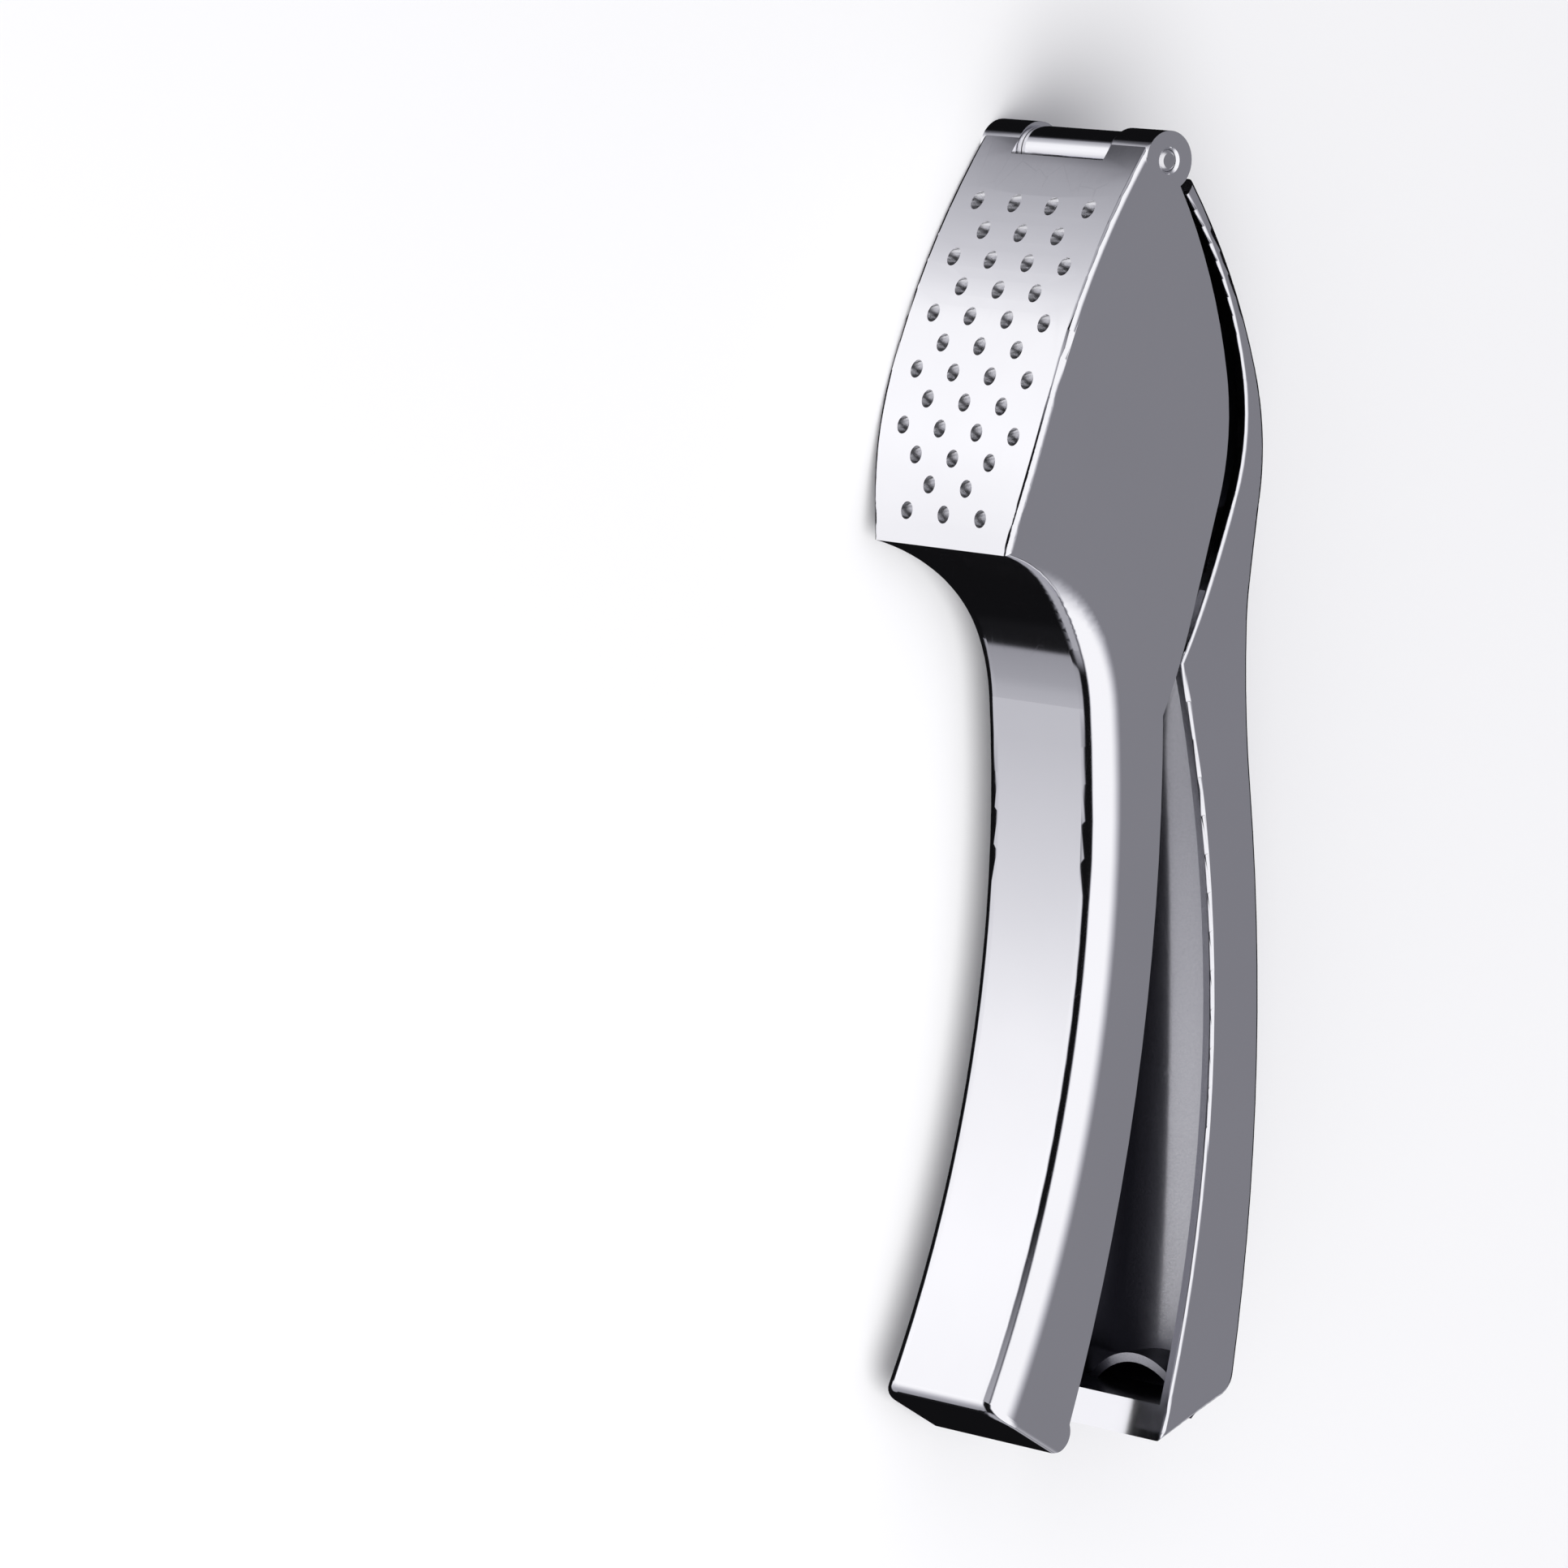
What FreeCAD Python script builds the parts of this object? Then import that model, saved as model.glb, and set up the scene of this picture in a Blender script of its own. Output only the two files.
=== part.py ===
import FreeCAD, Part
import Sketcher
import math
import os

# Garlic press, lying on its left cheek.
# Z is the hinge pin's direction, up. Y runs from the handle ends to the hinge.
# -X is the sieve side, +X is the lever's back. The pin's axis is at X 0, Y 0.
# Each casting is a side outline drawn in X and Y, met by a front outline in Y and Z.

doc = FreeCAD.newDocument("GarlicPress")
sheet = doc.addObject("Spreadsheet::Sheet", "sizes")

sizes = {
    # where the hinge axis stands from the middle of the left cheek
    "hingeX": 3.0, "hingeY": 17.0,
    # hinge
    "barrelRadius": 4.1, "barrelProud": 0.04, "knuckleRadius": 3.55, "notchRadius": 5.2, "notchWidth": 19.4,
    "pinRadius": 1.5, "pinFit": 0.05, "pinChamfer": 0.45, "sinkRadius": 1.9, "washerThick": 0.8,
    "washerRadius": 3.3, "washerGap": 0.1,
    # front outline, half widths, and the walls beside the hollows
    "headHalf": 17.6, "handleHalf": 13.2, "neckTop": 30.0, "neckBottom": 66.0,
    "cheekWall": 2.4, "handleWall": 1.8,
    # sieve face and underside
    "faceTopAngle": 146.0, "faceRadius": 118.0, "faceFootX": 26.6, "faceFootY": 53.0,
    "underRadius": 25.8,
    # basket handle
    "handleTopX": 8.7, "handleTopY": 76.0, "handleFootX": 27.8, "handleFootY": 172.6,
    "handleBackRadius": 292.0, "handleEndX": 17.1, "handleEndY": 179.3, "heelX": 14.3,
    "heelY": 175.5, "heelRadius": 2.9,
    # cheeks
    "cheekRadius": 80.0, "cheekTopX": 1.8, "cheekTopY": 3.1, "cheekFootX": 2.9, "cheekFootY": 77.5,
    # chamber, and the channel of the basket handle
    "sieveWall": 2.3, "chamberRadius": 57.6, "chamberLean": 0.6, "chamberRun": 12.0,
    "endWeb": 2.8, "frontWall": 2.3, "endWall": 3.0, "channelRise": 1.8, "channelHeel": 3.0,
    # sieve holes
    "holeRadius": 1.22, "holePitch": 7.8, "rowPitch": 3.81, "firstRow": 6.55,
    # lever
    "leverTopX": 3.4, "leverTopY": 4.9, "leverCrownX": 4.9, "leverCrownY": 2.8,
    "waistTopX": 19.7, "waistTopY": 60.0, "waistRadius": 180.0, "waistFootX": 20.1,
    "waistFootY": 89.0, "leverLongRadius": 317.0, "leverHeelX": 17.0, "leverHeelY": 172.5,
    "leverInnerRadius": 60.0, "chinX": 6.4, "chinY": 70.5, "leverLipRadius": 205.0,
    "leverFootX": 2.6, "leverFootY": 180.3, "leverCornerRadius": 4.0, "leverToeX": 14.6,
    "leverToeY": 175.5, "leverWall": 2.4, "leverEndWall": 2.2, "leverEndRise": 3.0,
    # tongue of the lever
    "tongueBackAngle": 40.0, "tongueFrontAngle": 276.0, "tongueInset": 0.05,
    "tongueFrontX": 4.4, "tongueFootX": 9.5, "tongueDrop": 11.0, "tongueRise": 2.2,
    "tongueSeat": 0.4,
    # arched rib in the foot of the lever's channel
    "ribY": 183.5, "ribRadius": 13.0, "ribThick": 1.3, "ribHeight": 2.6,
    # plunger, its web and the two cross pins
    "plungerGap": 0.5, "plungerSide": 0.4, "plungerEndGap": 0.6, "plungerPlate": 5.5,
    "plungerTop": 6.6, "plungerShift": 7.0, "webHalf": 4.0, "webBack": 9.5, "webTop": 15.0,
    "webFoot": 50.0, "webTopInset": 5.0, "webFootInset": 3.0, "webCorner": 4.0,
    "lugGap": 0.15, "lugThick": 3.0, "lugFront": 3.0, "lugSeat": 0.6,
    "crossPinRadius": 1.6, "crossPinFit": 0.02, "crossBoreOver": 1.0,
    "upperPinX": 6.6, "upperPinY": 20.0, "lowerPinX": 7.6, "lowerPinY": 40.0,
    # rounded edges
    "shoulder": 4.4, "faceEdge": 0.9, "endEdge": 0.9, "footEdge": 2.0, "backEdge": 1.5,
    "rimEdge": 0.5,
}

# The radii that tangent joints settle in the sketches are near these.
ABOUT = {"handleFront": 194.0, "leverLong": 317.0, "waist": 180.0, "leverBack": 94.0}

for row, (alias, value) in enumerate(sizes.items(), start=1):
    sheet.set("A%d" % row, alias)
    sheet.set("B%d" % row, str(value))
    sheet.setAlias("B%d" % row, alias)
doc.recompute()


# A number that remembers the expression it comes from, so that a sketch can be
# drawn at the right place and stay bound to the sheet.
class Size:
    def __init__(self, value, text):
        self.value = value
        self.text = text

    def join(self, other, sign, value):
        return Size(value, "(%s %s %s)" % (self.text, sign, other.text))

    def __add__(self, other):
        other = asSize(other)
        return self.join(other, "+", self.value + other.value)

    def __sub__(self, other):
        other = asSize(other)
        return self.join(other, "-", self.value - other.value)

    def __mul__(self, other):
        other = asSize(other)
        return self.join(other, "*", self.value * other.value)

    def __truediv__(self, other):
        other = asSize(other)
        return self.join(other, "/", self.value / other.value)

    def __neg__(self):
        return asSize(0.0) - self


def asSize(number):
    if isinstance(number, Size):
        return number
    return Size(float(number), repr(float(number)))


def size(alias):
    return Size(float(sheet.get(alias)), "sizes." + alias)


def bind(thing, path, number):
    thing.setExpression(path, asSize(number).text)


# Sketch of a closed outline. Each corner is (x, y) and, where the stretch to the
# next corner is an arc, its radius and "left" or "right" for the way it turns.
# At a corner marked "smooth" the arcs run into each other: the radius given there
# is only about right, and the sketch works out the true one.
def drawOutline(sketch, outlines):
    for outline in outlines:
        first = sketch.GeometryCount
        starts = []
        ends = []
        for index, corner in enumerate(outline):
            following = outline[(index + 1) % len(outline)]
            here = FreeCAD.Vector(asSize(corner[0]).value, asSize(corner[1]).value, 0)
            there = FreeCAD.Vector(asSize(following[0]).value, asSize(following[1]).value, 0)
            if len(corner) == 2:
                sketch.addGeometry(Part.LineSegment(here, there), False)
                starts.append(1)
                ends.append(2)
                continue
            radius = asSize(corner[2])
            turnsLeft = corner[3] == "left"
            chord = there - here
            offset = math.sqrt(radius.value ** 2 - (chord.Length / 2) ** 2)
            leftward = FreeCAD.Vector(-chord.y, chord.x, 0).normalize()
            centre = (here + there) * 0.5 + leftward * (offset if turnsLeft else -offset)
            begin, end = (here, there) if turnsLeft else (there, here)
            angles = [math.atan2(p.y - centre.y, p.x - centre.x) for p in (begin, end)]
            circle = Part.Circle(centre, FreeCAD.Vector(0, 0, 1), radius.value)
            sketch.addGeometry(Part.ArcOfCircle(circle, angles[0], angles[1]), False)
            starts.append(1 if turnsLeft else 2)
            ends.append(2 if turnsLeft else 1)
        constraints = []
        numbers = {}
        for index, corner in enumerate(outline):
            edge = first + index
            after = (index + 1) % len(outline)
            kind = "Tangent" if "smooth" in outline[after] else "Coincident"
            constraints.append(
                Sketcher.Constraint(kind, edge, ends[index], first + after, starts[after]))
            across = asSize(corner[0])
            numbers[len(constraints)] = ("across%d" % edge, across)
            constraints.append(
                Sketcher.Constraint("DistanceX", -1, 1, edge, starts[index], across.value))
            along = asSize(corner[1])
            numbers[len(constraints)] = ("along%d" % edge, along)
            constraints.append(
                Sketcher.Constraint("DistanceY", -1, 1, edge, starts[index], along.value))
            if len(corner) == 4:
                radius = asSize(corner[2])
                numbers[len(constraints)] = ("radius%d" % edge, radius)
                constraints.append(Sketcher.Constraint("Radius", edge, radius.value))
        before = sketch.ConstraintCount
        sketch.addConstraint(constraints)
        for place, (name, number) in numbers.items():
            sketch.renameConstraint(before + place, name)
            bind(sketch, "Constraints." + name, number)


def originPlane(body, role):
    for feature in body.Origin.OriginFeatures:
        if feature.Role == role:
            return feature
    raise ValueError(role)


def makeBody(name):
    body = doc.addObject("PartDesign::Body", name)
    body.Label = name
    return body


def bodySketch(body, name, role, outlines):
    sketch = body.newObject("Sketcher::SketchObject", name)
    sketch.AttachmentSupport = [(originPlane(body, role), "")]
    sketch.MapMode = "FlatFace"
    drawOutline(sketch, outlines)
    doc.recompute()
    return sketch


def padBoth(body, sketch, name, length):
    pad = body.newObject("PartDesign::Pad", name)
    pad.Profile = sketch
    pad.Midplane = True
    bind(pad, "Length", length)
    doc.recompute()
    return pad


# Takes away what lies outside a front outline, right through the body.
def pocketBoth(body, sketch, name):
    before = body.Shape.Volume
    pocket = body.newObject("PartDesign::Pocket", name)
    pocket.Profile = sketch
    pocket.Type = "ThroughAll"
    pocket.Midplane = True
    doc.recompute()
    if body.Shape.Volume > before - 1.0:
        raise ValueError(name + " takes nothing away")
    return pocket


headHalf = size("headHalf")
handleHalf = size("handleHalf")
neckTop = size("neckTop")
neckBottom = size("neckBottom")

# Reaches that go right past every piece: down the handles, ahead of them, and round the hinge.
FAR = Size(260.0, "260")
AHEAD = Size(52.0, "52")
NEAR = Size(30.0, "30")
NONE = Size(0.0, "0")


# The two areas outside the front outline. It is as wide as the head down to the
# neck, then two equal arcs bring it in to the width of the handles.
def outsideOfFront(inset, drop):
    top = -(neckTop - drop)
    foot = -(neckBottom - drop)
    middle = (top + foot) / 2
    wide = headHalf - inset
    slim = handleHalf - inset
    mean = (wide + slim) / 2
    step = (wide - slim)
    run = neckBottom - neckTop
    radius = (run * run + step * step) / (step * 4)
    right = [(NEAR, wide), (top, wide, radius, "left"), (middle, mean, radius, "right"),
             (foot, slim), (-FAR, slim), (-FAR, NEAR), (NEAR, NEAR)]
    left = [(NEAR, -wide), (top, -wide, radius, "right"), (middle, -mean, radius, "left"),
            (foot, -slim), (-FAR, -slim), (-FAR, -NEAR), (NEAR, -NEAR)]
    return [right, left]


# A prism of a side outline, trimmed to the front outline.
def casting(name, outline, inset, drop=NONE):
    body = makeBody(name)
    side = bodySketch(body, name + "Side", "XY_Plane", [outline])
    padBoth(body, side, name + "Pad", NEAR * 2)
    front = bodySketch(body, name + "Front", "YZ_Plane", outsideOfFront(inset, drop))
    pocketBoth(body, front, name + "Trim")
    return body


# Rounds or bevels the edges of a body's last feature that the test picks.
def dressEdges(body, kind, name, number, wanted):
    base = body.Tip
    picked = ["Edge%d" % index for index, edge in enumerate(base.Shape.Edges, start=1) if wanted(edge)]
    dressing = body.newObject(kind, name)
    dressing.Base = (base, picked)
    bind(dressing, "Radius" if kind == "PartDesign::Fillet" else "Size", number)
    doc.recompute()
    return dressing


def normalAt(face, point):
    u, v = face.Surface.parameter(point)
    return face.normalAt(u, v)


# Edges between a flank of a casting and a face across it. Each comes with its
# number, as the fillet wants it, its middle and the face's outward direction there.
def flankEdges(shape):
    found = []
    for index, edge in enumerate(shape.Edges, start=1):
        middle = edge.valueAt((edge.FirstParameter + edge.LastParameter) / 2)
        normals = [normalAt(face, middle) for face in shape.ancestorsOfType(edge, Part.Face)]
        across = [normal for normal in normals if abs(normal.z) < 0.1]
        flank = [normal for normal in normals if abs(normal.z) > 0.5]
        if len(across) == 1 and len(flank) == 1:
            found.append((index, edge, middle, across[0]))
    return found


# Number of the straight edge that runs across the casting at a corner of its outline.
def crossEdge(shape, corner):
    x, y = [asSize(number).value for number in corner]
    for index, edge in enumerate(shape.Edges, start=1):
        if all(math.hypot(vertex.X - x, vertex.Y - y) < 0.01 for vertex in edge.Vertexes):
            return index
    raise ValueError("no edge at that corner")


# Part fillet with a radius at each end of each edge. radiusAt takes an end point,
# the edge's middle and the outward direction, and gives 0 for an edge left sharp.
def roundFlanks(name, base, radiusAt, others=()):
    picked = [(index, radius.value, radius.value) for index, radius in others]
    for index, edge, middle, outward in flankEdges(base.Shape):
        radii = [radiusAt(vertex.Point, middle, outward) for vertex in (edge.Vertexes[0], edge.Vertexes[-1])]
        if radii[0] > 0:
            picked.append((index, *radii))
    fillet = doc.addObject("Part::Fillet", name)
    fillet.Base = base
    fillet.Edges = picked
    doc.recompute()
    return fillet


def cylinder(name, radius, length, x, y, z):
    solid = doc.addObject("Part::Cylinder", name)
    bind(solid, "Radius", radius)
    bind(solid, "Height", length)
    bind(solid, "Placement.Base.x", x)
    bind(solid, "Placement.Base.y", y)
    bind(solid, "Placement.Base.z", z)
    return solid


def box(name, low, high):
    solid = doc.addObject("Part::Box", name)
    for axis, sizeName, start, stop in zip("xyz", ("Length", "Width", "Height"), low, high):
        bind(solid, sizeName, asSize(stop) - start)
        bind(solid, "Placement.Base." + axis, start)
    return solid


def combine(kind, name, *solids):
    result = doc.addObject(kind, name)
    if kind == "Part::Cut":
        result.Base = solids[0]
        result.Tool = solids[1]
    else:
        result.Shapes = list(solids)
    result.Refine = True
    doc.recompute()
    return result


def cosine(degrees):
    return Size(math.cos(math.radians(degrees.value)), "cos(%s * 1deg)" % degrees.text)


def sine(degrees):
    return Size(math.sin(math.radians(degrees.value)), "sin(%s * 1deg)" % degrees.text)


# ---- basket handle: sieve, cheeks, hinge knuckles and a hollow handle in one casting
barrelRadius = size("barrelRadius")
faceTop = (cosine(size("faceTopAngle")) * barrelRadius, sine(size("faceTopAngle")) * barrelRadius)
faceFoot = (-size("faceFootX"), -size("faceFootY"))
handleTop = (-size("handleTopX"), -size("handleTopY"))
handleFoot = (-size("handleFootX"), -size("handleFootY"))
handleEnd = (-size("handleEndX"), -size("handleEndY"))
heel = (-size("heelX"), -size("heelY"))
basketOutline = [
    faceTop + (size("faceRadius"), "left"),
    faceFoot + (size("underRadius"), "right"),
    handleTop + (ABOUT["handleFront"], "right", "smooth"),
    handleFoot,
    handleEnd + (size("heelRadius"), "left"),
    heel + (size("handleBackRadius"), "left"),
    (size("cheekFootX"), -size("cheekFootY"), size("cheekRadius"), "left"),
    (size("cheekTopX"), -size("cheekTopY")),
]
basket = casting("basketOuter", basketOutline, NONE)


# The sieve's edges are crisp. Down the underside they widen into the handle's soft shoulder.
def basketEdge(point, middle, outward):
    if outward.x > -0.15 or middle.y > 0:
        return 0
    if middle.y < -size("handleFootY").value:
        return size("endEdge").value
    crisp = size("faceEdge").value
    run = size("neckBottom").value - size("faceFootY").value
    share = min(max((-point.y - size("faceFootY").value) / run, 0.0), 1.0)
    return crisp + (size("shoulder").value - crisp) * share


toe = crossEdge(basket.Shape, handleFoot)
basket = roundFlanks("basketRounded", basket, basketEdge, [(toe, size("footEdge"))])

# Chamber: the face outline carried back by the sieve's thickness, ended by a wall
# on a circle about the hinge, so that a plunger fixed to the lever swings past it.
cheekWall = size("cheekWall")
sieveWall = size("sieveWall")
chamberRadius = size("chamberRadius")
chamberOutline = [
    (faceTop[0] + sieveWall, faceTop[1], size("faceRadius"), "left"),
    (faceFoot[0] + sieveWall, faceFoot[1]),
    (faceFoot[0] + sieveWall + size("chamberLean"), faceFoot[1] - size("chamberRun")),
    (NEAR, faceFoot[1] - size("chamberRun")),
    (NEAR, faceTop[1]),
]
chamberPrism = casting("chamberCore", chamberOutline, cheekWall)
chamberEnd = cylinder("chamberEnd", chamberRadius, NEAR * 2, 0, 0, -NEAR)
chamber = combine("Part::MultiCommon", "chamber", chamberPrism, chamberEnd)

# Channel of the handle, open at the back, closed at its foot.
frontWall = size("frontWall")
handleWall = size("handleWall")
channelOutline = [
    (faceFoot[0] + frontWall, faceFoot[1], size("underRadius"), "right"),
    (handleTop[0] + frontWall, handleTop[1], ABOUT["handleFront"], "right", "smooth"),
    (handleFoot[0] + frontWall, handleFoot[1] + size("channelRise")),
    (handleEnd[0], handleEnd[1] + size("endWall")),
    (heel[0] + size("channelHeel"), heel[1] + size("endWall")),
    (NEAR, heel[1] + size("endWall")),
    (NEAR, faceFoot[1]),
]
channelPrism = casting("channelCore", channelOutline, handleWall)
channelTop = cylinder("channelTop", chamberRadius + size("endWeb"), NEAR * 2, 0, 0, -NEAR)
channel = combine("Part::Cut", "channel", channelPrism, channelTop)

# Sieve holes: rows of four and three by turns, then two and three in the narrow foot.
holeRadius = size("holeRadius")
holePitch = size("holePitch")
HOLES_IN_ROW = [4, 3, 4, 3, 4, 3, 4, 3, 4, 3, 2, 3]
holes = makeBody("holeCore")
holeSketch = holes.newObject("Sketcher::SketchObject", "holePlan")
holeSketch.AttachmentSupport = [(originPlane(holes, "YZ_Plane"), "")]
holeSketch.MapMode = "FlatFace"
for row, count in enumerate(HOLES_IN_ROW):
    for place in range(count):
        along = -(size("firstRow") + size("rowPitch") * row)
        across = holePitch * (place - (count - 1) / 2)
        centre = FreeCAD.Vector(along.value, across.value, 0)
        circle = Part.Circle(centre, FreeCAD.Vector(0, 0, 1), holeRadius.value)
        index = holeSketch.addGeometry(circle, False)
        for kind, number in (("DistanceX", along), ("DistanceY", across)):
            added = holeSketch.addConstraint(
                Sketcher.Constraint(kind, -1, 1, index, 3, number.value))
            name = "%s%d" % ("along" if kind == "DistanceX" else "across", index)
            holeSketch.renameConstraint(added, name)
            bind(holeSketch, "Constraints." + name, number)
        added = holeSketch.addConstraint(Sketcher.Constraint("Radius", index, holeRadius.value))
        holeSketch.renameConstraint(added, "radius%d" % index)
        bind(holeSketch, "Constraints.radius%d" % index, holeRadius)
doc.recompute()
holePad = holes.newObject("PartDesign::Pad", "holePad")
holePad.Profile = holeSketch
holePad.Reversed = True
bind(holePad, "Length", AHEAD)
doc.recompute()

# Barrel across the top. The notch for the lever leaves a hinge knuckle at each end of it.
knuckleHalf = size("notchWidth") / 2
barrel = cylinder("barrel", barrelRadius + size("barrelProud"), headHalf * 2, 0, 0, -headHalf)
notch = cylinder("notch", size("notchRadius"), size("notchWidth"), 0, 0, -knuckleHalf)
pinBore = cylinder("pinBore", size("pinRadius") + size("pinFit"), NEAR * 2, 0, 0, -NEAR)


def countersink(name, top, deep):
    cone = doc.addObject("Part::Cone", name)
    bind(cone, "Radius1", size("sinkRadius") if deep else size("pinRadius"))
    bind(cone, "Radius2", size("pinRadius") if deep else size("sinkRadius"))
    bind(cone, "Height", size("pinChamfer"))
    bind(cone, "Placement.Base.z", top)
    return cone


sinks = [countersink("upperSink", headHalf - size("pinChamfer"), False),
         countersink("lowerSink", -headHalf, True)]
hollowed = combine("Part::Cut", "hollowed", basket, combine("Part::MultiFuse", "hollows", chamber, channel))
pierced = combine("Part::Cut", "pierced", hollowed, holes)
barrelled = combine("Part::MultiFuse", "barrelled", pierced, barrel)
openings = combine("Part::MultiFuse", "hingeCuts", notch, pinBore, *sinks)
basketHandle = combine("Part::Cut", "basket_handle", barrelled, openings)
for side in (1, -1):
    knuckleMiddle = FreeCAD.Vector(0, (barrelRadius.value + size("pinRadius").value) / 2,
                                   side * (headHalf.value + knuckleHalf.value) / 2)
    if not basketHandle.Shape.isInside(knuckleMiddle, 0.001, True):
        raise ValueError("a hinge knuckle is missing")

# ---- lever: a channel that closes over the back of the basket handle
leverCrown = (size("leverCrownX"), -size("leverCrownY"))
leverTop = (size("leverTopX"), -size("leverTopY"))
waistTop = (size("waistTopX"), -size("waistTopY"))
waistFoot = (size("waistFootX"), -size("waistFootY"))
leverHeel = (size("leverHeelX"), -size("leverHeelY"))
leverToe = (size("leverToeX"), -size("leverToeY"))
leverFoot = (size("leverFootX"), -size("leverFootY"))
chin = (size("chinX"), -size("chinY"))
leverOutline = [
    leverTop + (size("leverInnerRadius"), "right"),
    chin + (size("leverLipRadius"), "right"),
    leverFoot,
    leverToe + (size("leverCornerRadius"), "left"),
    leverHeel + (ABOUT["leverLong"], "left", "smooth"),
    waistFoot + (ABOUT["waist"], "right", "smooth"),
    waistTop + (ABOUT["leverBack"], "left", "smooth"),
    leverCrown,
]
lever = casting("leverOuter", leverOutline, NONE)


# The back is rounded over, the end less so, and the rim that faces the basket is only eased.
def leverEdge(point, middle, outward):
    if middle.y < -size("leverToeY").value and outward.x < 0.5:
        return size("endEdge").value
    if outward.x > 0.05:
        return size("backEdge").value
    return size("rimEdge").value if middle.y < -size("neckTop").value else 0


lever = roundFlanks("leverRounded", lever, leverEdge)

leverWall = size("leverWall")
leverHollow = [
    (leverCrown[0] - leverWall, leverCrown[1]),
    (-AHEAD, leverCrown[1]),
    (-AHEAD, leverFoot[1] + size("leverEndWall")),
    (leverToe[0] - leverWall, leverFoot[1] + size("leverEndWall") + size("leverEndRise")),
    (leverHeel[0] - leverWall, leverHeel[1], size("leverLongRadius"), "left"),
    (waistFoot[0] - leverWall, waistFoot[1], ABOUT["waist"], "right", "smooth"),
    (waistTop[0] - leverWall, waistTop[1], ABOUT["leverBack"], "left", "smooth"),
]
leverCore = casting("leverCore", leverHollow, handleWall)
leverShell = combine("Part::Cut", "leverShell", lever, leverCore)

# Tongue and middle knuckle that carry the lever on the hinge pin.
tongueHalf = knuckleHalf - size("washerThick") - size("washerGap") * 2
knuckleRadius = size("knuckleRadius")
tongueBody = makeBody("tongueCore")
tongueRoot = knuckleRadius - size("tongueInset")
tongueFoot = leverCrown[1] - size("tongueDrop")
tongueSketch = bodySketch(tongueBody, "tongueSide", "XY_Plane", [[
    (tongueRoot * cosine(size("tongueBackAngle")), tongueRoot * sine(size("tongueBackAngle"))),
    (tongueRoot * cosine(size("tongueFrontAngle")), tongueRoot * sine(size("tongueFrontAngle"))),
    (size("tongueFrontX"), tongueFoot),
    (size("tongueFootX"), tongueFoot + size("tongueRise")),
    (leverCrown[0] + size("tongueSeat"), leverCrown[1]),
]])
padBoth(tongueBody, tongueSketch, "tonguePad", tongueHalf * 2)
middleKnuckle = cylinder("middleKnuckle", knuckleRadius, tongueHalf * 2, 0, 0, -tongueHalf)

# Two lugs on the lever's floor hold the plunger's web.
webHalf = size("webHalf")
lugInner = webHalf + size("lugGap")
lugBoxes = []
for name, side in (("upperLug", 1), ("lowerLug", -1)):
    near = lugInner if side > 0 else -(lugInner + size("lugThick"))
    low = (size("lugFront"), -size("webFoot"), near)
    high = (NEAR, -size("webTop"), near + size("lugThick"))
    lugBoxes.append(box(name, low, high))
lugDepth = leverWall - size("lugSeat")
lugFloor = [
    (leverCrown[0] - lugDepth, leverCrown[1]),
    (-AHEAD, leverCrown[1]),
    (-AHEAD, waistFoot[1]),
    (waistFoot[0] - lugDepth, waistFoot[1], size("waistRadius"), "right"),
    (waistTop[0] - lugDepth, waistTop[1], ABOUT["leverBack"], "left", "smooth"),
]
lugTrim = casting("lugTrim", lugFloor, handleWall)
lugs = combine("Part::MultiCommon", "lugs", combine("Part::MultiFuse", "lugBlocks", *lugBoxes), lugTrim)

# Arched rib on the channel's floor at the foot, with the end pocket inside the arch.
def lyingCylinder(name, radius):
    solid = cylinder(name, radius, NEAR * 2, 0, -size("ribY"), 0)
    solid.Placement.Rotation = FreeCAD.Rotation(FreeCAD.Vector(0, 1, 0), 90)
    return solid


ribRing = combine("Part::Cut", "ribRing", lyingCylinder("ribOuter", size("ribRadius")),
                  lyingCylinder("ribInner", size("ribRadius") - size("ribThick")))
ribTop = leverToe[0] - leverWall - size("ribHeight")
ribKeep = casting("ribKeep", [
    (ribTop, leverFoot[1] + size("leverEndWall")),
    (leverToe[0], leverFoot[1] + size("leverEndWall") + size("leverEndRise")),
    (leverToe[0], leverFoot[1] + size("ribRadius")),
    (ribTop, leverFoot[1] + size("ribRadius")),
], handleWall - size("lugSeat"))
rib = combine("Part::MultiCommon", "rib", ribRing, ribKeep)

leverFused = combine("Part::MultiFuse", "leverFused", leverShell, tongueBody, middleKnuckle, lugs, rib)
crossPinRadius = size("crossPinRadius")
CROSS_PINS = [("upper", size("upperPinX"), -size("upperPinY")),
              ("lower", size("lowerPinX"), -size("lowerPinY"))]
leverPinBore = cylinder("leverPinBore", size("pinRadius") + size("pinFit"), NEAR * 2, 0, 0, -NEAR)
crossBoreHalf = lugInner + size("lugThick") + size("crossBoreOver")
crossBores = [cylinder(name + "CrossBore", crossPinRadius + size("crossPinFit"), crossBoreHalf * 2,
                       x, y, -crossBoreHalf) for name, x, y in CROSS_PINS]
leverCuts = combine("Part::MultiFuse", "leverCuts", leverPinBore, *crossBores)
pressHandle = combine("Part::Cut", "press_handle", leverFused, leverCuts)

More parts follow.
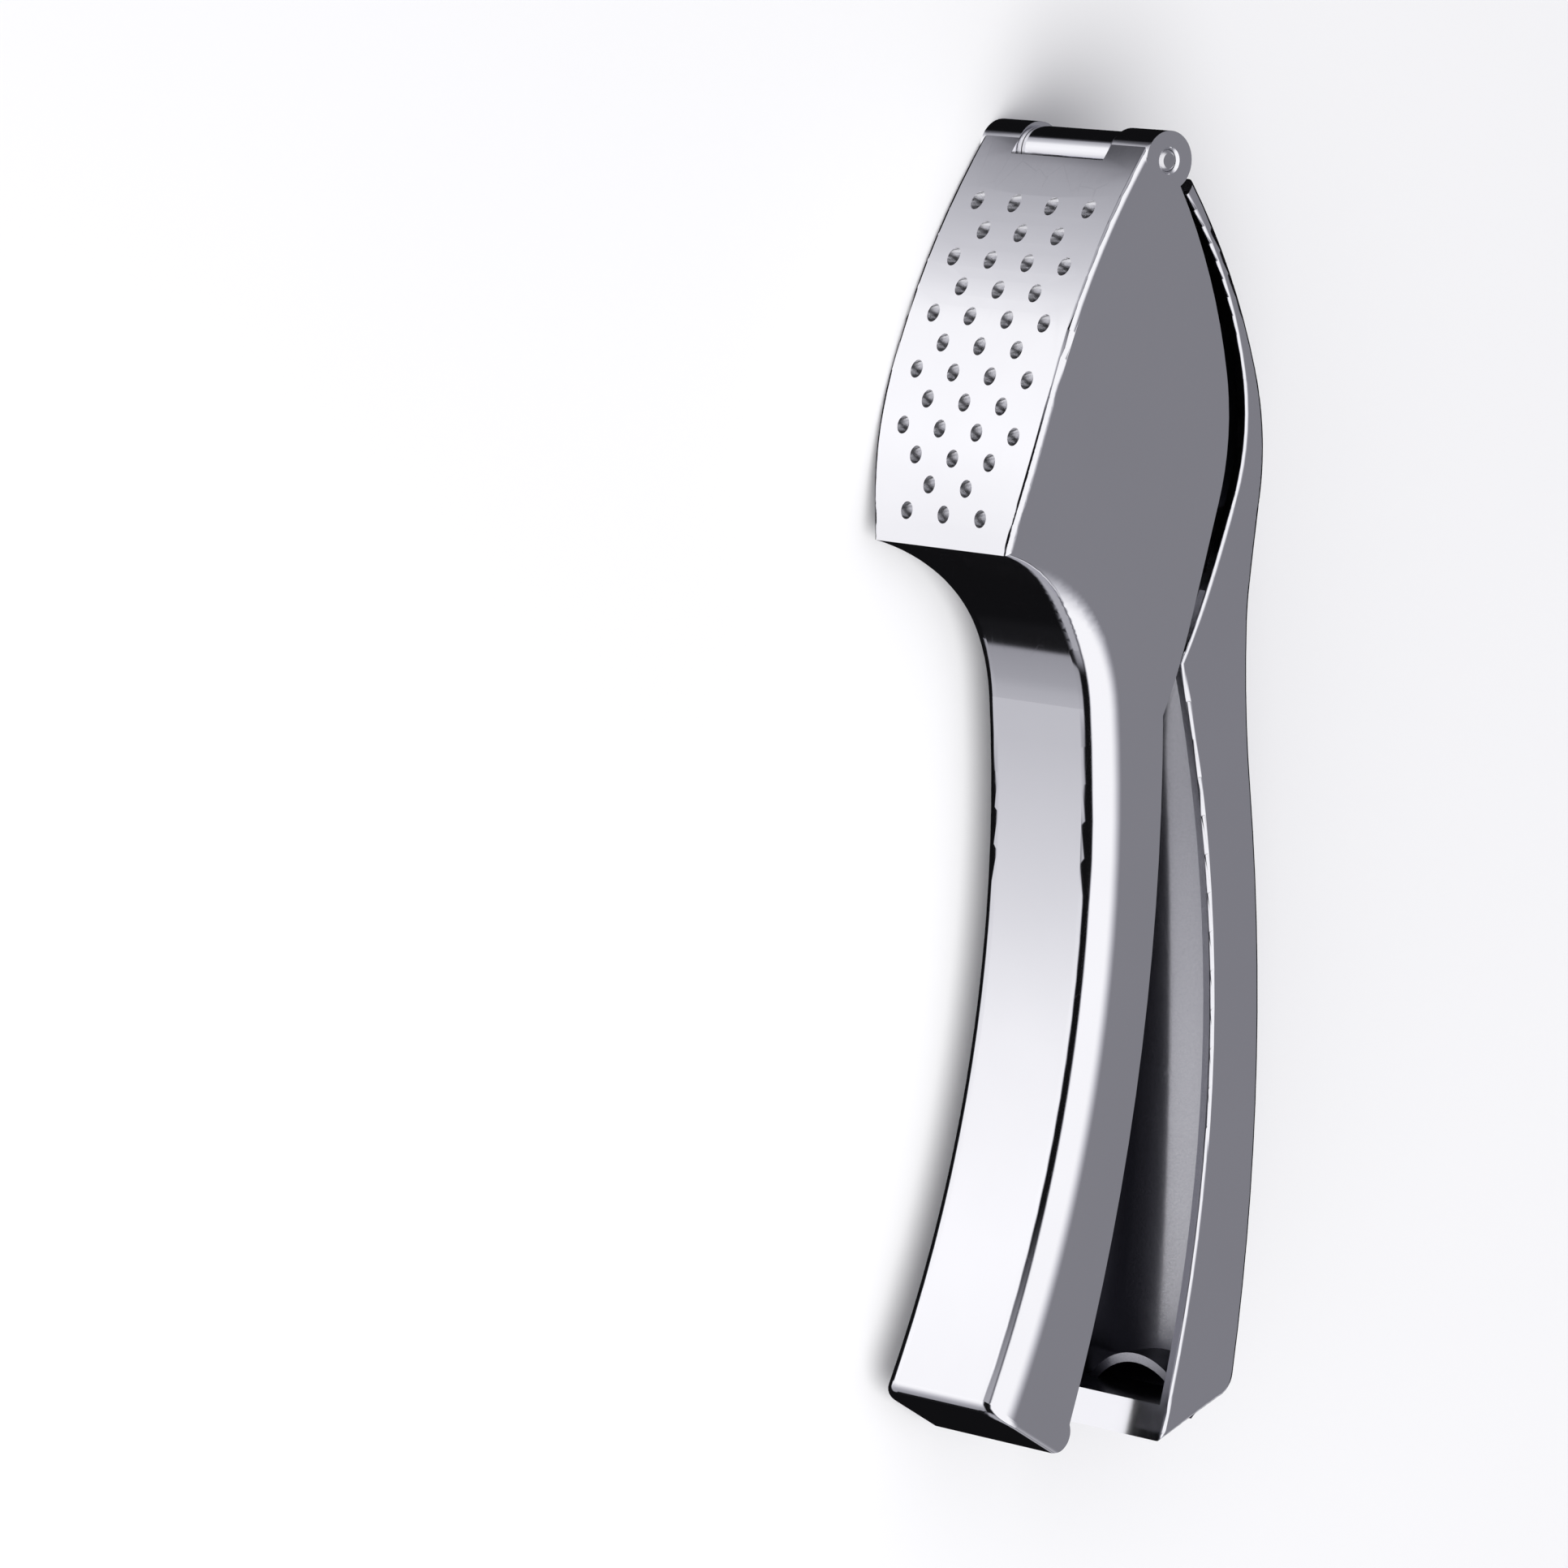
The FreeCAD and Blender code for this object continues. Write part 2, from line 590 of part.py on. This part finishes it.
# ---- plunger: a plate with the sieve's curve and a web behind it
plungerFront = sieveWall + size("plungerGap")
plungerBack = plungerFront + size("plungerPlate")
plungerPlate = casting("plungerPlate", [
    (faceTop[0] + plungerFront, faceTop[1], size("faceRadius"), "left"),
    (faceFoot[0] + plungerFront, faceFoot[1]),
    (faceFoot[0] + plungerFront + size("chamberLean"), faceFoot[1] - size("chamberRun")),
    (faceFoot[0] + plungerBack + size("chamberLean"), faceFoot[1] - size("chamberRun")),
    (faceFoot[0] + plungerBack, faceFoot[1], size("faceRadius"), "right"),
    (faceTop[0] + plungerBack, faceTop[1]),
], cheekWall + size("plungerSide"), size("plungerShift"))
webBody = makeBody("webCore")
webSketch = bodySketch(webBody, "webSide", "XY_Plane", [[
    (faceTop[0] + plungerFront - size("webTopInset"), -size("webTop")),
    (faceFoot[0] + plungerFront + size("webFootInset"), -size("webFoot")),
    (size("webBack"), -size("webFoot")),
    (size("webBack"), -size("webTop") - size("webCorner")),
    (size("webBack") - size("webCorner"), -size("webTop")),
]])
padBoth(webBody, webSketch, "webPad", webHalf * 2)
plungerBlank = combine("Part::MultiFuse", "plungerBlank", plungerPlate, webBody)
plungerReach = cylinder("plungerReach", chamberRadius - size("plungerEndGap"), NEAR * 2, 0, 0, -NEAR)
plungerBody = combine("Part::MultiCommon", "plungerBody", plungerBlank, plungerReach)
plungerRoot = cylinder("plungerRoot", size("plungerTop"), NEAR * 2, 0, 0, -NEAR)
plungerBores = [cylinder(name + "PlungerBore", crossPinRadius + size("crossPinFit"), crossBoreHalf * 2,
                         x, y, -crossBoreHalf) for name, x, y in CROSS_PINS]
plunger = combine("Part::Cut", "plunger", plungerBody,
                  combine("Part::MultiFuse", "plungerCuts", plungerRoot, *plungerBores))

# ---- pins and washers
def ring(name, outer, inner, length, start):
    sleeve = cylinder(name + "Sleeve", outer, length, 0, 0, start)
    hole = cylinder(name + "Hole", inner, length, 0, 0, start)
    return combine("Part::Cut", name, sleeve, hole)


hingePin = makeBody("hinge_pin")
pinSketch = hingePin.newObject("Sketcher::SketchObject", "pinCircle")
pinSketch.AttachmentSupport = [(originPlane(hingePin, "XY_Plane"), "")]
pinSketch.MapMode = "FlatFace"
circle = Part.Circle(FreeCAD.Vector(0, 0, 0), FreeCAD.Vector(0, 0, 1), size("pinRadius").value)
pinSketch.addGeometry(circle, False)
pinSketch.addConstraint(Sketcher.Constraint("Coincident", 0, 3, -1, 1))
added = pinSketch.addConstraint(Sketcher.Constraint("Radius", 0, size("pinRadius").value))
pinSketch.renameConstraint(added, "pinRadius")
bind(pinSketch, "Constraints.pinRadius", size("pinRadius"))
padBoth(hingePin, pinSketch, "pinPad", headHalf * 2)
dressEdges(hingePin, "PartDesign::Chamfer", "pinEnds", size("pinChamfer"), lambda edge: edge.isClosed())

washerStart = tongueHalf + size("washerGap")
washers = combine(
    "Part::MultiFuse", "hinge_washers",
    ring("upperWasher", size("washerRadius"), size("pinRadius") + size("pinFit"),
         size("washerThick"), washerStart),
    ring("lowerWasher", size("washerRadius"), size("pinRadius") + size("pinFit"),
         size("washerThick"), -(washerStart + size("washerThick"))))

lugOuter = lugInner + size("lugThick")
crossPins = combine(
    "Part::MultiFuse", "plunger_pins",
    *[cylinder(name + "CrossPin", crossPinRadius, lugOuter * 2, x, y, -lugOuter)
      for name, x, y in CROSS_PINS])

# ---- every piece is laid on the plane Z 0, then checked and written
nodes = [("basket_handle", basketHandle), ("press_handle", pressHandle), ("plunger", plunger),
         ("hinge_pin", hingePin), ("hinge_washers", washers), ("plunger_pins", crossPins)]
for name, node in nodes:
    node.Label = name
    bind(node, "Placement.Base.x", size("hingeX"))
    bind(node, "Placement.Base.y", size("hingeY"))
    bind(node, "Placement.Base.z", headHalf)
doc.recompute()

for thing in doc.Objects:
    if "Invalid" in thing.State or "Error" in thing.State:
        raise ValueError(thing.Name + " failed")
os.makedirs("parts", exist_ok=True)
for name, node in nodes:
    shape = node.Shape
    if shape.isNull() or not shape.isValid() or not shape.Solids:
        raise ValueError(name + " is not a valid solid")
    box3 = shape.BoundBox
    print("%-16s %2d solids %8.0f mm3  x %.1f..%.1f y %.1f..%.1f z %.1f..%.1f" % (
        name, len(shape.Solids), shape.Volume, box3.XMin, box3.XMax,
        box3.YMin, box3.YMax, box3.ZMin, box3.ZMax))
    shape.exportStep("parts/" + name + ".step")
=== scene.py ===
import math
import bpy
from mathutils import Matrix, Vector

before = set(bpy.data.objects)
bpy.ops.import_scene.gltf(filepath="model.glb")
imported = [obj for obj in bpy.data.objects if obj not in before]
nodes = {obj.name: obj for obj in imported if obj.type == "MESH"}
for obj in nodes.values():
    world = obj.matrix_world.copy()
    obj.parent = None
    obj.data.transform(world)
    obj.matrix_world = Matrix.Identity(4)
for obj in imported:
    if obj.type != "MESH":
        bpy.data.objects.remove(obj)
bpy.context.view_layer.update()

print("frame loaded:", ", ".join(sorted(nodes)))


# a socket that can be added and multiplied, each step one Math node
class Wire:
    def __init__(self, tree, socket):
        self.tree = tree
        self.socket = socket

    def math(self, operation, *others):
        return self.tree.node("ShaderNodeMath", {"operation": operation}, [self, *others])

    def __add__(self, other):
        return self.math("ADD", other)

    def __radd__(self, other):
        return self.math("ADD", other)

    def __mul__(self, other):
        return self.math("MULTIPLY", other)


# a material's or the world's node tree, emptied and ready to fill
class Tree:
    def __init__(self, owner):
        owner.use_nodes = True
        self.owner = owner
        self.nodes = owner.node_tree.nodes
        self.links = owner.node_tree.links
        self.nodes.clear()

    def plug(self, socket, value):
        if isinstance(value, Wire):
            self.links.new(value.socket, socket)
        else:
            socket.default_value = value

    def node(self, kind, settings=None, inputs=None, output=0):
        made = self.nodes.new(kind)
        for name, value in (settings or {}).items():
            if name == "stops":
                fillRamp(made.color_ramp, value)
            else:
                setattr(made, name, value)
        pairs = inputs.items() if isinstance(inputs, dict) else enumerate(inputs or [])
        for name, value in pairs:
            self.plug(made.inputs[name], value)
        return Wire(self, made.outputs[output]) if len(made.outputs) else made


def fillRamp(ramp, stops):
    while len(ramp.elements) < len(stops):
        ramp.elements.new(0.5)
    for element, (place, colour) in zip(ramp.elements, stops):
        element.position = place
        element.color = colour if len(colour) == 4 else (*colour, 1)


# ---- finishes
# polished plating: fine straight brushing marks left under the chrome, hairline
# scratches, a faint waviness of the casting, duller plating in the hollows, and painted
# shade there: an occlusion mask pulls the colour to a dark tint inside the lever, and to a
# slightly paler tint, painted light, on the basket's hole walls
# each hollow tint is painted shade in the occluded hollows (dark on the lever, a touch darker on the plunger);
# on the basket it is a touch paler, painted light on the hole walls
plating = {
    "basket_handle": {"tint": (0.95, 0.95, 0.975), "paintedHollowTint": (0.98, 0.98, 1.0), "rough": 0.05,
                      "hollowRough": 0.16, "grain": (90, 18, 90), "wave": 0.00003, "reach": 0.010},
    "press_handle": {"tint": (0.92, 0.92, 0.95), "paintedHollowTint": (0.11, 0.11, 0.13), "rough": 0.055,
                     "hollowRough": 0.2, "grain": (90, 16, 90), "wave": 0.00003, "reach": 0.038},
    "plunger": {"tint": (0.97, 0.97, 0.98), "paintedHollowTint": (0.95, 0.95, 0.97), "rough": 0.26,
                "hollowRough": 0.3, "grain": (60, 60, 60), "wave": 0.00003, "reach": 0.004},
}

# what the plated castings share
polish = {"grainScale": 14.0, "grainDetail": 4.0, "hazeScale": 55.0, "hazeDetail": 3.0,
          "scratchScale": 2.6, "scratchWidth": 0.012, "waveScale": 38.0, "waveDetail": 1.0,
          "hazeRough": 0.04, "grainRough": 0.03, "scratchRough": 0.05, "hazeTint": 0.96,
          "open": 0.94, "enclosed": 0.62, "grainHeight": 0.006, "bumpStrength": 0.35}
# lathe-turned steel of the pin, the washers and the cross pins
turnedFinish = {"scale": 900.0, "detail": 3.0, "rough": 0.14, "fineRough": 0.18, "depth": 0.00002,
                "strength": 0.4, "pale": (0.86, 0.86, 0.88), "deep": (0.72, 0.72, 0.75)}


def polishedCasting(name, values):
    material = bpy.data.materials.new(name + "_plating")
    tree = Tree(material)
    place = tree.node("ShaderNodeTexCoord", output="Object")
    stretched = tree.node("ShaderNodeMapping", {}, {"Vector": place, "Scale": values["grain"]})
    grain = tree.node("ShaderNodeTexNoise", {},
                      {"Vector": stretched, "Scale": polish["grainScale"], "Detail": polish["grainDetail"]})
    haze = tree.node("ShaderNodeTexNoise", {},
                     {"Vector": place, "Scale": polish["hazeScale"], "Detail": polish["hazeDetail"]})
    scratches = tree.node("ShaderNodeTexVoronoi", {"feature": "DISTANCE_TO_EDGE"},
                          {"Vector": stretched, "Scale": polish["scratchScale"], "Randomness": 1.0})
    scratch = tree.node("ShaderNodeValToRGB",
                        {"stops": [(0.0, (1, 1, 1)), (polish["scratchWidth"], (0, 0, 0))]}, [scratches])
    # occlusion mask: paints shade into hollows, creases and gaps between parts, and makes the plating there
    # duller
    openness = tree.node("ShaderNodeAmbientOcclusion", {"samples": 8, "only_local": True},
                         {"Distance": values["reach"]}, output="AO")
    hollowShadeAndDullness = tree.node("ShaderNodeMapRange", {"interpolation_type": "SMOOTHSTEP"},
                       {"Value": openness, "From Min": polish["open"], "From Max": polish["enclosed"],
                        "To Min": 0.0, "To Max": 1.0})
    rough = values["rough"] + haze * polish["hazeRough"] + grain * polish["grainRough"]
    rough = rough + scratch * polish["scratchRough"] + hollowShadeAndDullness * values["hollowRough"]
    wave = tree.node("ShaderNodeTexNoise", {},
                     {"Vector": place, "Scale": polish["waveScale"], "Detail": polish["waveDetail"]})
    bump = tree.node("ShaderNodeBump", {},
                     {"Height": wave + grain * polish["grainHeight"], "Distance": values["wave"],
                      "Strength": polish["bumpStrength"]})
    hazed = [part * polish["hazeTint"] for part in values["tint"]]
    bright = tree.node("ShaderNodeMix", {"data_type": "RGBA"},
                       {"Factor": haze, "A": (*values["tint"], 1), "B": (*hazed, 1)}, output="Result")
    # painted shade: in occluded hollows the colour is mixed toward the hollow tint (dark on the lever,
    # slightly paler on the basket)
    colour = tree.node("ShaderNodeMix", {"data_type": "RGBA"},
                       {"Factor": hollowShadeAndDullness, "A": bright, "B": (*values["paintedHollowTint"], 1)}, output="Result")
    shader = tree.node("ShaderNodeBsdfPrincipled", {},
                       {"Base Color": colour, "Metallic": 1.0, "Roughness": rough, "Normal": bump})
    tree.node("ShaderNodeOutputMaterial", {}, [shader])
    return material


def turnedSteel(name):
    material = bpy.data.materials.new(name + "_turned")
    tree = Tree(material)
    place = tree.node("ShaderNodeTexCoord", output="Object")
    fine = tree.node("ShaderNodeTexNoise", {},
                     {"Vector": place, "Scale": turnedFinish["scale"], "Detail": turnedFinish["detail"]})
    rough = fine * turnedFinish["fineRough"] + turnedFinish["rough"]
    colour = tree.node("ShaderNodeMix", {"data_type": "RGBA"},
                       {"Factor": fine, "A": (*turnedFinish["pale"], 1), "B": (*turnedFinish["deep"], 1)},
                       output="Result")
    bump = tree.node("ShaderNodeBump", {},
                     {"Height": fine, "Distance": turnedFinish["depth"], "Strength": turnedFinish["strength"]})
    shader = tree.node("ShaderNodeBsdfPrincipled", {},
                       {"Base Color": colour, "Metallic": 1.0, "Roughness": rough, "Normal": bump})
    tree.node("ShaderNodeOutputMaterial", {}, [shader])
    return material


for name, piece in nodes.items():
    piece.data.materials.clear()
    if name in plating:
        piece.data.materials.append(polishedCasting(name, plating[name]))
    else:
        piece.data.materials.append(turnedSteel(name))
print("finishes done")

# ---- floor
ground = {"reach": 3.0, "pale": (0.88, 0.88, 0.88), "deep": (0.85, 0.85, 0.855), "rough": 0.8,
          "mottleScale": 6.0, "mottleDetail": 2.0}
bpy.ops.object.select_all(action="DESELECT")
bpy.ops.mesh.primitive_plane_add(size=ground["reach"] * 2, location=(0, 0, 0))
floor = bpy.context.object
floor.name = "floor"
floor.visible_glossy = False  # the polish mirrors the studio below, not the floor
floorPaint = bpy.data.materials.new("floorPaint")
tree = Tree(floorPaint)
place = tree.node("ShaderNodeTexCoord", output="Object")
mottle = tree.node("ShaderNodeTexNoise", {},
                   {"Vector": place, "Scale": ground["mottleScale"], "Detail": ground["mottleDetail"]})
shade = tree.node("ShaderNodeMix", {"data_type": "RGBA"},
                  {"Factor": mottle, "A": (*ground["pale"], 1), "B": (*ground["deep"], 1)}, output="Result")
tree.node("ShaderNodeOutputMaterial", {},
          [tree.node("ShaderNodeBsdfPrincipled", {}, {"Base Color": shade, "Roughness": ground["rough"]})])
floor.data.materials.append(floorPaint)

# ---- studio: soft boxes over and under the press on the sieve's side, and dark elsewhere
# but for a low glow, given by direction so that long flat faces mirror them evenly
studio = {
    "overFoot": (-0.04, 0.10),  # where the upper box begins above the horizon
    "overSide": (0.42, -0.35),  # how it fades towards the lever's side
    "overBright": 1.0, "overDim": 0.235,
    "underTop": (-0.40, -0.52), "underSide": (-0.16, -0.26), "dark": 0.006,
    # brightness of the lower box from the foot end (0) to the hinge end (1)
    "underStops": [(0.236, 0.004), (0.243, 0.33), (0.325, 0.39), (0.388, 0.52), (0.475, 0.74), (0.540, 0.95),
                   (0.625, 1.05), (0.710, 1.0), (0.750, 0.66), (0.797, 0.40), (0.803, 0.09)],
    # softer glow low down, off to both ends, behind the lever and beside the sieve
    "lowRise": (-0.62, -0.40), "lowFall": (0.02, -0.14),
    "behind": {"side": (0.15, 0.40), "ends": ((0.16, 0.36), (-0.28, -0.48)), "bright": 0.5},
    "beside": {"side": (0.42, 0.12), "ends": ((0.30, 0.52), (-0.50, -0.68)), "bright": 0.42},
    "dimColour": (0.88, 0.875, 1.0), "brightColour": (0.985, 0.98, 1.0),
}
world = bpy.data.worlds.new("studioWorld")
bpy.context.scene.world = world
tree = Tree(world)
direction = tree.node("ShaderNodeTexCoord", output="Generated")
sideways = tree.node("ShaderNodeSeparateXYZ", {}, [direction], output="X")
lengthwise = tree.node("ShaderNodeSeparateXYZ", {}, [direction], output="Y")
upward = tree.node("ShaderNodeSeparateXYZ", {}, [direction], output="Z")


def fade(value, limits):
    return tree.node("ShaderNodeMapRange", {"interpolation_type": "SMOOTHSTEP"},
                     {"Value": value, "From Min": limits[0], "From Max": limits[1],
                      "To Min": 0.0, "To Max": 1.0})


over = fade(upward, studio["overFoot"])
overGain = studio["overBright"] - studio["overDim"]
overLevel = over * (fade(sideways, studio["overSide"]) * overGain + studio["overDim"])
underRamp = tree.node("ShaderNodeValToRGB",
                      {"stops": [(stop, (level, level, level)) for stop, level in studio["underStops"]]},
                      [lengthwise * 0.5 + 0.5])
underLevel = fade(upward, studio["underTop"]) * fade(sideways, studio["underSide"]) * underRamp
lowBand = fade(upward, studio["lowRise"]) * fade(upward, studio["lowFall"])
level = overLevel + underLevel + studio["dark"]
for glow in (studio["behind"], studio["beside"]):
    nearEnd, farEnd = [fade(lengthwise, limits) for limits in glow["ends"]]
    level = level + lowBand * fade(sideways, glow["side"]) * (nearEnd + farEnd) * glow["bright"]
colour = tree.node("ShaderNodeMix", {"data_type": "RGBA", "clamp_factor": True},
                   {"Factor": level, "A": (*studio["dimColour"], 1), "B": (*studio["brightColour"], 1)},
                   output="Result")
tree.node("ShaderNodeOutputWorld", {},
          [tree.node("ShaderNodeBackground", {}, {"Color": colour, "Strength": level})])


def areaLight(name, place, target, size, power):
    lamp = bpy.data.lights.new(name, "AREA")
    lamp.shape = "DISK"
    lamp.size = size
    lamp.energy = power
    thing = bpy.data.objects.new(name, lamp)
    bpy.context.scene.collection.objects.link(thing)
    thing.location = place
    thing.rotation_euler = (Vector(target) - Vector(place)).to_track_quat("-Z", "Y").to_euler()
    thing.visible_glossy = False
    return thing


floorLamp = {"place": (-0.5, -0.4, 1.1), "target": (0, -0.07, 0), "size": 0.9, "power": 10.5}
areaLight("floorLight", floorLamp["place"], floorLamp["target"], floorLamp["size"], floorLamp["power"])
print("studio done")

# ---- camera
view = {"turn": 41.0, "lift": 7.7, "distance": 1.30, "centre": (0.00134, -0.0716, 0.01627),
        "lens": 213.2, "sensor": 36.0, "shiftX": -0.1822, "shiftY": 0.0021, "clipStart": 0.05}
turn = math.radians(view["turn"])
lift = math.radians(view["lift"])
towards = Vector((-math.sin(turn) * math.cos(lift), math.sin(lift), math.cos(turn) * math.cos(lift)))
rightward = Vector((math.cos(turn), 0, math.sin(turn)))
upright = towards.cross(rightward)
camera = bpy.data.objects.new("camera", bpy.data.cameras.new("camera"))
bpy.context.scene.collection.objects.link(camera)
turned = Matrix((rightward, upright, towards)).transposed().to_4x4()
camera.matrix_world = Matrix.Translation(Vector(view["centre"]) + towards * view["distance"]) @ turned
camera.data.lens = view["lens"]
camera.data.sensor_width = view["sensor"]
camera.data.shift_x = view["shiftX"]
camera.data.shift_y = view["shiftY"]
camera.data.clip_start = view["clipStart"]
bpy.context.scene.camera = camera
bpy.context.scene.view_settings.view_transform = "Standard"
print("camera done")
